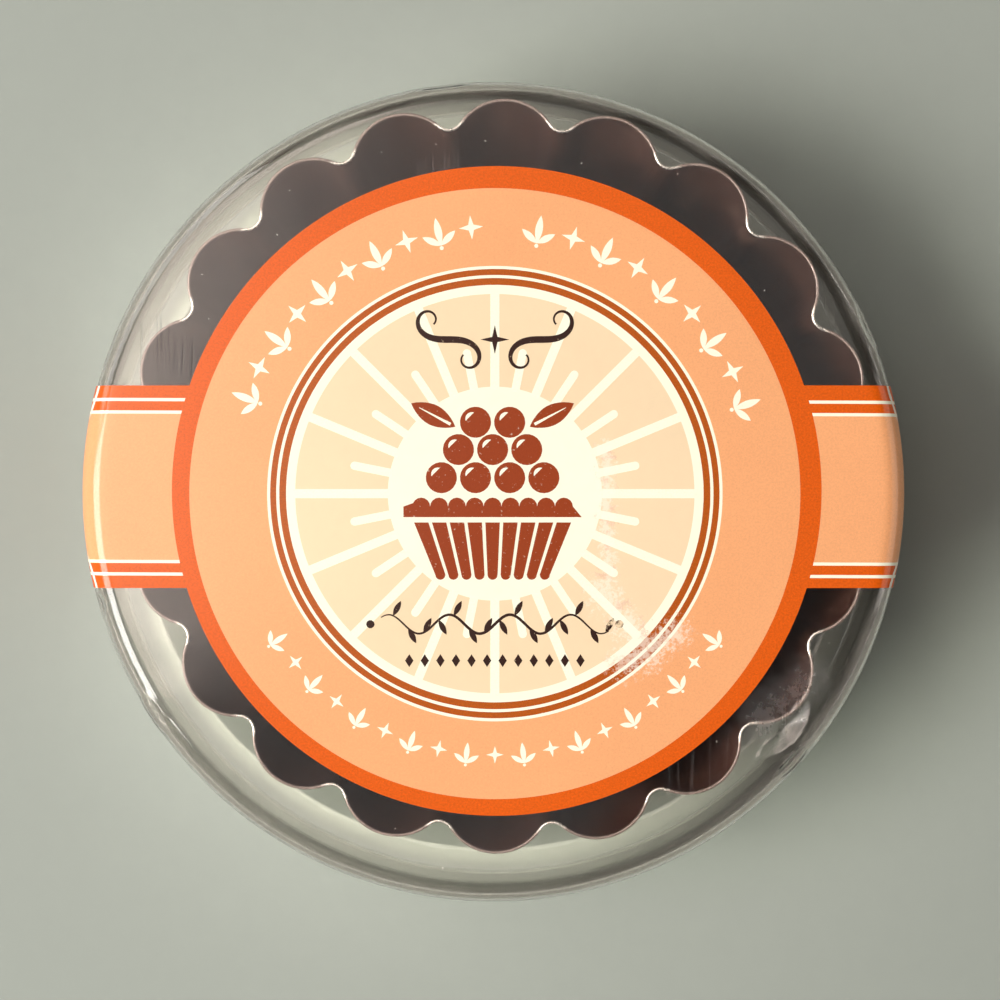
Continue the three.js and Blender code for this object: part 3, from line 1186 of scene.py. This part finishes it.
@dataclass
class ClearBox:
    """The tub and the lid. Lengths are in millimetres. The walls past the clear radius are scuffed."""

    wall: float = 0.3
    edge_round: float = 3.0
    neck_step: float = 0.7
    shoulder: float = 6.0
    foot_inner: float = 46.0
    foot_outer: float = 51.0
    foot_raise: float = 1.1
    bead_height: float = 9.0
    bead_rise: float = 0.15
    bead_half: float = 0.8
    clear_radius: float = 51.6
    dust_ring: Point = (43.6, 50.8)
    dust_density: float = 11000.0
    dust_grain: float = 0.075
    tub_segments: int = 300
    lid_segments: int = 720
    dents: tuple[Dent, ...] = (
        Dent(-39.0, -1.9, 5.6, 2.4, 0.82, 0.12, 0.88, 0.3),
        Dent(-42.0, 1.6, 3.4, 1.7, 0.45, 0.1, 0.85, 0.4),
        Dent(213.2, 2.6, 3.6, 1.9, 0.3, 0.12),
        Dent(196.0, 3.4, 2.4, 1.6, 0.2, 0.1),
        Dent(97.0, 3.8, 5.0, 1.4, 0.12, 0.06),
        Dent(24.0, 3.4, 4.0, 1.6, 0.15, 0.08),
    )

    def build_tub(self) -> bpy.types.Object:
        """Makes the tub: floor, foot ring, shoulder, and a neck with a snap bead round it."""
        low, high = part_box("tub")
        outer = (high.x - low.x) / 2 / MM
        neck_top = high.z / MM
        neck = outer - self.neck_step
        inner = neck - self.wall
        foot_round = outer - self.foot_outer
        foot_centre = (self.foot_outer, foot_round)
        floor_top = self.foot_raise + self.wall
        mid_floor, ramp_round, ring_round, shoulder_round, corner_round = 20.0, 1.1, 1.0, 0.4, 0.15
        bead = [
            (neck + self.bead_rise * math.cos(math.pi * s / 2) ** 2, self.bead_height + s * self.bead_half)
            for s in (-1, -0.6, -0.3, 0, 0.3, 0.6, 1)
        ]
        profile = [
            (0.0, self.foot_raise),
            (mid_floor, self.foot_raise),
            *arc((self.foot_inner - 2 * ramp_round, self.foot_raise - ramp_round), ramp_round, 90, 30, 4),
            *arc((self.foot_inner + 0.2, ring_round), ring_round, 215, 270, 4),
            *arc(foot_centre, foot_round, -90, 0, 10),
            (outer, self.shoulder - shoulder_round),
            *arc((outer - shoulder_round, self.shoulder - shoulder_round), shoulder_round, 0, 90, 4),
            *arc((neck + corner_round, self.shoulder + corner_round), corner_round, 270, 180, 3),
            *bead,
            (neck, (self.bead_height + neck_top) / 2),
            *arc((neck - self.wall / 2, neck_top - self.wall / 2), self.wall / 2, 0, 180, 6),
            (inner, (self.bead_height + neck_top) / 2),
            (inner, self.shoulder - self.wall),
            (outer - self.wall, self.shoulder - 2 * self.wall),
            *arc(foot_centre, foot_round - self.wall, 0, -90, 10),
            (self.foot_inner + self.wall + 0.4, self.wall),
            (self.foot_inner + self.wall - self.foot_raise, floor_top),
            (mid_floor, floor_top),
            (0.0, floor_top),
        ]
        return turn_profile("clear_tub", profile, self.tub_segments)

    def build_lid(self) -> bpy.types.Object:
        """Makes the lid: a flat top, a rounded edge and a deep skirt, with its dents."""
        low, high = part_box("lid")
        outer = (high.x - low.x) / 2 / MM
        top, bottom = high.z / MM, low.z / MM
        flat = outer - self.edge_round
        centre = (flat, top - self.edge_round)
        lip = self.wall / 2
        flat_radii = (8, 20, 32, 44, 46.5, *[47.0 + 0.25 * i for i in range(18)])
        shares = (0.3, 0.6, 0.8, 0.85, 0.9, 0.93, 0.96, 0.98)
        side = [bottom + lip + (centre[1] - bottom - lip) * share for share in shares]
        profile = [
            (0.0, top - self.wall),
            *[(r, top - self.wall) for r in flat_radii],
            *arc(centre, self.edge_round - self.wall, 90, 0, 20),
            *[(outer - self.wall, z) for z in reversed(side)],
            *arc((outer - lip, bottom + lip), lip, 180, 360, 6),
            *[(outer, z) for z in side],
            *arc(centre, self.edge_round, 0, 90, 20),
            *[(r, top) for r in reversed(flat_radii)],
            (0.0, top),
        ]
        lid = turn_profile("clear_lid", profile, self.lid_segments)
        for vertex in lid.data.vertices:
            vertex.co += self._buckle(vertex.co / MM, centre) * MM
        return lid

    def _buckle(self, point: Vector, centre: Point) -> Vector:
        """How far the dents move a point of the lid.

        Args:
            point: The point, in millimetres.
            centre: Radius and height of the middle of the lid's rounded edge.

        Returns:
            The move, along the surface's own outward direction.
        """
        radius = point.xy.length
        beyond, above = radius - centre[0], point.z - centre[1]
        if beyond <= 0 and above <= 0:
            return Vector()
        if beyond <= 0:
            lean, past_flat = 0.0, beyond
        elif above <= 0:
            lean, past_flat = math.pi / 2, self.edge_round * math.pi / 2 - above
        else:
            lean = math.atan2(beyond, above)
            past_flat = self.edge_round * lean
        angle = math.atan2(point.y, point.x)
        rise = sum(dent.rise(angle, radius, past_flat) for dent in self.dents)
        out = Vector((math.cos(angle) * math.sin(lean), math.sin(angle) * math.sin(lean), math.cos(lean)))
        return out * rise

    def build_dust(self) -> bpy.types.Object:
        """Strews a few pale specks over the bare ring of the lid's top."""
        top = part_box("lid")[1].z / MM
        steps = 90
        inner, outer = (arc((0.0, 0.0), radius, 0, 360, steps)[:-1] for radius in self.dust_ring)
        corners = [Vector((*point, top)) * MM for point in inner + outer]
        faces = [(i, i + steps, (i + 1) % steps + steps, (i + 1) % steps) for i in range(steps)]
        dust = mesh_object("lid_dust", corners, faces)
        values = {"Density": self.dust_density, "Grain": self.dust_grain * MM, "Seed": 5}
        run_tree(dust, TREES.scatter, values | {"Speck": Dust().material()})
        return dust

    def build(self) -> list[bpy.types.Object]:
        """Makes the tub, the lid and its dust, dressed and riding on their bodies."""
        clear = ClearPlastic()
        scuffed = ClearPlastic("scuffed_sheet", srgb("efebe6"), haze=0.05, clearness=0.955, waviness=0.08)
        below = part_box("lid")[1].z - self.edge_round * MM
        pieces = []
        for piece, node in ((self.build_tub(), "tub"), (self.build_lid(), "lid")):
            shade(piece, 40.0)
            piece.data.materials.append(clear.material())
            piece.data.materials.append(scuffed.material())
            for face in piece.data.polygons:
                upright = face.center.xy.length > self.clear_radius * MM
                face.material_index = int(upright and self.shoulder * MM < face.center.z < below)
            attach(piece, node)
            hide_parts(node)
            log.info("%s: %d faces", piece.name, len(piece.data.polygons))
            pieces.append(piece)
        dust = self.build_dust()
        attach(dust, "lid")
        log.info("%s: %d faces", dust.name, len(dust.data.polygons))
        return [*pieces, dust]


# ---- The label ----


@dataclass
class Label:
    """The die-cut paper label and its printed ornaments. Lengths are in millimetres.

    Inks are thin slabs on the paper. The flourishes lie a hair higher, over the rays that they cross.
    """

    shift: Point = (0.45, 0.1)
    print_shift: Point = (0.2, -0.26)
    disc_radius: float = 42.8
    tab_top: float = 13.9
    tab_bottom: float = -12.8
    gap: float = 0.03
    paper: float = 0.12
    ink: float = 0.012
    over_rays: float = 0.004
    edge_round: float = 3.0
    pieces: list[bpy.types.Object] = field(default_factory=list)

    def __post_init__(self) -> None:
        """Reads the lid's outside and works out where the print goes."""
        low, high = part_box("lid")
        self.lid_top = high.z / MM
        self.lid_radius = (high.x - low.x) / 2 / MM
        self.tab_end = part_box("label")[0].z / MM
        self.level = self.lid_top + self.gap + self.paper
        self.layout = PrintLayout(self.print_shift, self.shift, self.disc_radius)

    def _tab_path(self, start: float, offset: float) -> list[Point]:
        """A tab's way from the disc's edge, out over the lid's rounded edge and down its skirt.

        Args:
            start: How far from the box's axis the tab leaves the disc, across the band.
            offset: The point's place across the band, from the box's axis.

        Returns:
            Distances from the axis along the band, each with its height.
        """
        flat = self.lid_radius - self.edge_round
        outside = self.edge_round + self.gap + self.paper
        centre = (flat, self.lid_top - self.edge_round)
        skirt = flat + outside
        profile = arc(centre, outside, 90, 0, 12) + line((skirt, centre[1]), (skirt, self.tab_end), 10)
        bend = [(math.sqrt(radius**2 - offset**2), height) for radius, height in profile]
        return line((start, self.level), bend[0], 8) + bend[1:]

    def build_paper(self) -> bpy.types.Object:
        """Makes the paper as one sheet: a fan of rings for the disc, with a grid of rows for each tab."""
        top = math.degrees(math.asin(self.tab_top / self.disc_radius))
        bottom = math.degrees(math.asin(self.tab_bottom / self.disc_radius))
        corners = [bottom, top, 180 - top, 180 - bottom, 360 + bottom]
        tab_steps, round_steps, rings = 28, 150, 22
        edge: list[Point] = []
        tabs: dict[int, range] = {}
        for side, (start, end) in enumerate(zip(corners, corners[1:])):
            steps = tab_steps if side % 2 == 0 else round_steps
            if side % 2 == 0:
                tabs[1 if side == 0 else -1] = range(len(edge), len(edge) + steps + 1)
            edge.extend(arc(self.shift, self.disc_radius, start, end, steps)[:-1])
        count = len(edge)

        vertices = [Vector((*self.shift, self.level))]
        faces: list[tuple[int, ...]] = []
        for ring in range(1, rings + 1):
            share = ring / rings
            for x, y in edge:
                flat = Vector(self.shift).lerp(Vector((x, y)), share)
                vertices.append(Vector((flat.x, flat.y, self.level)))
        for i in range(count):
            after = (i + 1) % count
            faces.append((0, 1 + i, 1 + after))
            for ring in range(rings - 1):
                near = 1 + ring * count
                faces.append((near + i, near + count + i, near + count + after, near + after))

        last_ring = 1 + (rings - 1) * count
        for way, columns in tabs.items():
            previous = None
            for column in columns:
                x, y = edge[column % count]
                path = self._tab_path(abs(x), y)
                numbers = [last_ring + column % count, *range(len(vertices), len(vertices) + len(path))]
                vertices.extend(Vector((way * out, y, height)) for out, height in path)
                if previous is not None:
                    for i in range(len(path)):
                        faces.append((previous[i], previous[i + 1], numbers[i + 1], numbers[i]))
                previous = numbers

        sheet = mesh_object("paper_label", [v * MM for v in vertices], faces)
        sheet.data.materials.append(PrintedPaper(self.layout).material())
        sheet.data.materials.append(PaperBack().material())
        solidify = sheet.modifiers.new("paper", "SOLIDIFY")
        solidify.thickness = self.paper * MM
        solidify.offset = -1
        solidify.material_offset = 1
        solidify.material_offset_rim = 1
        make_plain(sheet)
        shade(sheet, 40.0)
        return sheet

    def _inks(self) -> dict[str, bpy.types.Material]:
        """The ornaments' materials by name."""
        return {
            "cream": Ink("cream_ink", Inks.CREAM, Inks.BARE, self.layout, 0.5).material(),
            "rust": Ink("rust_ink", Inks.RUST, Inks.CREAM, self.layout).material(),
            "dark": Ink("dark_ink", Inks.DARK, Inks.PALE, self.layout).material(),
        }

    def _keep(self, piece: bpy.types.Object, ink: bpy.types.Material) -> None:
        """Dresses an ornament in an ink, if it has none yet, and keeps it."""
        if not piece.data.materials:
            piece.data.materials.append(ink)
        self.pieces.append(piece)

    def _ring_of(
        self, name: str, art: FlatArt, ink: bpy.types.Material, count: int, radius: float,
        start: float, step: float, size: float = 1.0, spin: float = 0.0,
    ) -> None:
        """Repeats an ornament round the print's centre, with bearings clockwise from the top."""
        piece = art.build(name, (0.0, 0.0), self.level, self.ink)
        values = {
            "Count": count,
            "Centre": (self.print_shift[0] * MM, self.print_shift[1] * MM, 0.0),
            "Radius": radius * MM,
            "Start": math.radians(start),
            "Step": math.radians(step),
            "Spin": math.radians(spin),
            "Size": size,
            "Ink": ink,
        }
        run_tree(piece, TREES.round, values)
        self._keep(piece, ink)

    def build_rays(self, ink: bpy.types.Material) -> None:
        """The sun behind the motif: long rays to the ring, with short round-ended ones between."""
        long_ray, short_ray = FlatArt(), FlatArt()
        count, inner, half, reach = 16, 13.7, 0.6, 12.9
        step = 360 / count
        long_ray.fill([(-half, 0.0), (half, 0.0), (half, reach), (-half, reach)])
        short_ray.fill(capsule(5.7, 1.1))
        self._ring_of("long_rays", long_ray, ink, count, inner, 0.0, step)
        self._ring_of("short_rays", short_ray, ink, count, inner, step / 2, step)

    def build_garlands(self, ink: bpy.types.Material) -> None:
        """Leaf sprigs and stars in turn, round the upper and the lower half of the peach field."""
        sprig, diamond = FlatArt(), FlatArt()
        for length, width, heading in ((3.7, 1.0, 90), (2.7, 0.9, 145), (2.7, 0.9, 35)):
            sprig.fill(leaf(length, width, heading, (0.0, -1.75)))
        sprig.fill(arc((0.0, -2.1), 0.28, 0, 315, 7))
        diamond.fill(star(1.6, 0.5))
        upper, lower = 35.2, 34.4
        self._ring_of("left_sprigs", sprig, ink, 5, upper, -69.0, 14.2)
        self._ring_of("right_sprigs", sprig, ink, 5, upper, 9.5, 15.25)
        self._ring_of("left_stars", diamond, ink, 5, upper, -61.9, 14.2)
        self._ring_of("right_stars", diamond, ink, 4, upper, 17.1, 15.25)
        self._ring_of("lower_sprigs", sprig, ink, 10, lower, 124.0, 12.44, 0.74, 180.0)
        self._ring_of("lower_stars", diamond, ink, 9, lower, 130.22, 12.44, 0.72, 180.0)

    def build_tart(self, ink: bpy.types.Material, cream: bpy.types.Material) -> None:
        """The motif in the middle: a fluted tart case heaped with berries and two leaves."""
        art, lights = FlatArt(), FlatArt()
        top_pitch, bottom_pitch, rim_half, rim_top, rim_bottom = 2.35, 1.72, 11.75, -1.9, -3.3
        for i in range(-4, 5):
            top_x, bottom_x = i * top_pitch, i * bottom_pitch
            foot = arc((bottom_x, -10.9), 0.66, 180, 360, 6)
            art.fill([(top_x - 0.95, -4.0), *foot, (top_x + 0.95, -4.0)])
        scallops = [
            point
            for i in range(4, -5, -1)
            for point in arc((i * top_pitch, rim_top), top_pitch / 2, 0, 180, 8)[:-1]
        ]
        art.fill([(-rim_half, rim_bottom), (rim_half, rim_bottom), *scallops, (-rim_half, rim_top)])
        for count, height in ((4, 1.9), (3, 5.6), (2, 9.2)):
            for i in range(count):
                berry = ((i - (count - 1) / 2) * 4.5, height)
                art.fill(arc(berry, 2.05, 0, 352, 22))
                lights.stroke(arc(berry, 1.3, 100, 170, 8), lambda s: 0.42 * math.sin(math.pi * s) + 0.06)
        for side in (1, -1):
            heading = 90 - side * 62
            base = (side * 4.9, 8.6)
            art.fill(leaf(6.6, 2.7, heading, base, 12))
            along = (side * 0.883 * 0.9, 0.469 * 0.9)
            vein = [(base[0] + d * along[0], base[1] + d * along[1]) for d in (0.8, 2.6, 4.4, 6.0)]
            lights.stroke(vein, lambda s: 0.32 * (1 - s) + 0.08)
        centre = (self.print_shift[0] - 0.3, self.print_shift[1] + 0.2)
        self._keep(art.build("tart_motif", centre, self.level, self.ink), ink)
        self._keep(lights.build("tart_lights", centre, self.level + self.ink, self.ink), cream)

    def build_flourishes(self, ink: bpy.types.Material) -> None:
        """Scrolls above and below the motif, and a row of lozenges under the lower one."""
        upper, lower, lozenge = FlatArt(), FlatArt(), FlatArt()
        for side in (1, -1):
            scroll = [(side * (x + 6.1), y) for x, y in self._scroll(1.9, 5.2)]
            upper.stroke(scroll, lambda s: 0.24 + 0.66 * math.sin(math.pi * s) ** 2)
        upper.fill(star(1.9, 0.5))
        wave_height = 1.25
        wave = [(x / 4, wave_height * math.sin(x / 4 * math.pi / 4)) for x in range(-60, 61)]
        lower.stroke(wave, lambda s: 0.16 + 0.22 * math.sin(math.pi * s))
        for i in range(-7, 8):
            stem = i * 2.0 + 0.6
            height = wave_height * math.sin(stem * math.pi / 4)
            lower.fill(leaf(2.2, 0.75, 62 if i % 2 else -62, (stem, height)))
        for side in (1, -1):
            lower.fill(arc((side * 16.4, 0.0), 0.55, 0, 324, 9))
        for i in range(12):
            x = (i - 5.5) * 2.05
            lozenge.fill([(x, -0.85), (x + 0.55, 0.0), (x, 0.85), (x - 0.55, 0.0)])
        arts = {"upper_scroll": (upper, 20.3), "lower_vine": (lower, -17.2), "lozenges": (lozenge, -22.0)}
        for name, (art, height) in arts.items():
            centre = (self.print_shift[0], self.print_shift[1] + height)
            self._keep(art.build(name, centre, self.level + self.over_rays, self.ink), ink)

    @staticmethod
    def _scroll(turns: float, size: float) -> list[Point]:
        """An S-shaped scroll whose two ends wind up evenly."""
        step = 0.04
        count = int(turns / step)
        path = [Vector((0.0, 0.0))]
        for i in range(count):
            heading = math.pi / 2 * ((i + 0.5) * step) ** 2
            path.append(path[-1] + Vector((math.cos(heading), math.sin(heading))) * step * size)
        other_half = [-p for p in reversed(path[1:])]
        return [(p.x, p.y) for p in other_half + path]

    def build(self) -> list[bpy.types.Object]:
        """Makes the paper and its ornaments, all riding on the lid's body."""
        inks = self._inks()
        paper = self.build_paper()
        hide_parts("label")
        self.pieces.append(paper)
        self.build_rays(inks["cream"])
        self.build_garlands(inks["cream"])
        self.build_tart(inks["rust"], inks["cream"])
        self.build_flourishes(inks["dark"])
        for piece in self.pieces:
            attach(piece, "lid")
            log.info("%s: %d faces", piece.name, len(piece.data.polygons))
        return self.pieces


# ---- The studio ----


@dataclass(frozen=True)
class Lamp:
    """A soft rectangular lamp that faces the box. Lengths are in metres and its power is in watts."""

    name: str
    place: tuple[float, float, float]
    size: Point
    power: float
    colour: tuple[float, float, float]
    hidden_from: tuple[str, ...] = ()
    aim: tuple[float, float, float] = (0.0, 0.0, 0.02)

    def build(self) -> None:
        """Puts the lamp up and hides it from the kinds of ray that aren't to meet it."""
        data = bpy.data.lights.new(self.name, "AREA")
        data.shape = "RECTANGLE"
        data.size, data.size_y = self.size
        data.energy = self.power
        data.color = self.colour
        lamp = bpy.data.objects.new(self.name, data)
        bpy.context.scene.collection.objects.link(lamp)
        lamp.location = self.place
        to_box = Vector(self.aim) - Vector(self.place)
        lamp.rotation_euler = to_box.to_track_quat("-Z", "Y").to_euler()
        for ray in self.hidden_from:
            setattr(lamp, f"visible_{ray}", False)


@dataclass
class Studio:
    """Floor, lights and camera. Lengths are in metres.

    The lamps light the box and the floor. The room is only mirrored and seen through the plastic: it
    has a glow at the ceiling, a paler one at the horizon and a window, whose edges are stops between
    two directions. A window step adds a strength to its glow between two places on X.
    """

    camera_rise: float = 0.38
    camera_aside: Point = (0.00088, -0.0011)
    camera_clip: float = 0.01
    lens: float = 103.8
    floor_half: float = 3.0
    lamps: tuple[Lamp, ...] = (
        Lamp("key", (-0.655, -0.15, 0.74), (0.5, 0.5), 13.0, (1.0, 0.98, 0.94)),
        Lamp("fill", (-0.25, 0.15, 1.1), (0.9, 0.9), 2.8, (1.0, 0.98, 0.96), ("glossy",)),
        Lamp("bounce", (0.5, 0.0, 0.2), (0.3, 0.3), 0.5, (1.0, 0.95, 0.88)),
        Lamp(
            "edge_window", (-0.44, 0.28, 0.32), (0.4, 0.26), 2.6, (1.0, 0.96, 0.92),
            ("diffuse", "transmission"),
        ),
    )
    room: tuple[float, float, float] = (0.025, 0.025, 0.025)
    ceiling: float = 0.06
    ceiling_tint: tuple[float, float, float] = (1.0, 0.84, 0.75)
    horizon: float = 0.45
    horizon_tint: tuple[float, float, float] = (0.97, 1.0, 0.96)
    window_steps: tuple[tuple[float, float, float], ...] = (
        (0.5, 0.07, -0.07),
        (1.5, -0.025, -0.09),
        (2.4, -0.085, -0.125),
    )
    window_edges: tuple[tuple[str, float, float], ...] = (
        ("x", -0.6, -0.5),
        ("x", 0.4, 0.3),
        ("y", -0.075, -0.042),
        ("y", 0.55, 0.45),
        ("z", 0.0, 0.1),
    )

    def build_floor(self) -> None:
        """Lays a plain pale floor under the box."""
        half = self.floor_half
        corners = [Vector((x * half, y * half, 0.0)) for x, y in ((-1, -1), (1, -1), (1, 1), (-1, 1))]
        floor = mesh_object("floor", corners, [(0, 1, 2, 3)])
        floor.data.materials.append(StudioFloor().material())

    def build_world(self) -> bpy.types.World:
        """Makes the room: dim below, with a glow at the horizon and a soft window up to the left."""
        world = bpy.data.worlds.new("studio_room")
        world.use_nodes = True
        world.node_tree.nodes.clear()
        graph = Graph(world.node_tree)
        directions = graph.split(graph.add("ShaderNodeTexCoord").outputs["Generated"])
        along = dict(zip("xyz", directions))
        glow: Operand = self.ceiling
        for strength, low, high in self.window_steps:
            glow = graph.smooth(along["x"], low, high) * strength + glow
        for axis, low, high in self.window_edges:
            glow = glow * graph.smooth(along[axis], low, high)
        walls = graph.toned(self.horizon_tint, graph.smooth(along["z"], 0.5, 0.1) * self.horizon)
        light = graph.sum_of(graph.toned(self.ceiling_tint, glow), graph.sum_of(walls, self.room))
        background = graph.output("ShaderNodeBackground", {"Color": light})
        graph.add("ShaderNodeOutputWorld", {"Surface": background})
        return world

    def build(self) -> None:
        """Sets up everything that isn't part of the box."""
        scene = bpy.context.scene
        self.build_floor()
        for lamp in self.lamps:
            lamp.build()
        scene.world = self.build_world()
        scene.world.cycles_visibility.diffuse = False
        scene.view_settings.view_transform = "Standard"

        data = bpy.data.cameras.new("camera")
        data.lens = self.lens
        data.clip_start = self.camera_clip
        camera = bpy.data.objects.new("camera", data)
        scene.collection.objects.link(camera)
        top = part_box("lid")[1].z
        camera.location = (*self.camera_aside, top + self.camera_rise)
        scene.camera = camera


def main() -> None:
    """Builds the pieces in order and writes how large the model is."""
    logging.basicConfig(level=logging.INFO, format="%(name)s: %(message)s")
    Studio().build()
    PanStack().build()
    ClearBox().build()
    Label().build()


if __name__ == "__main__":
    main()
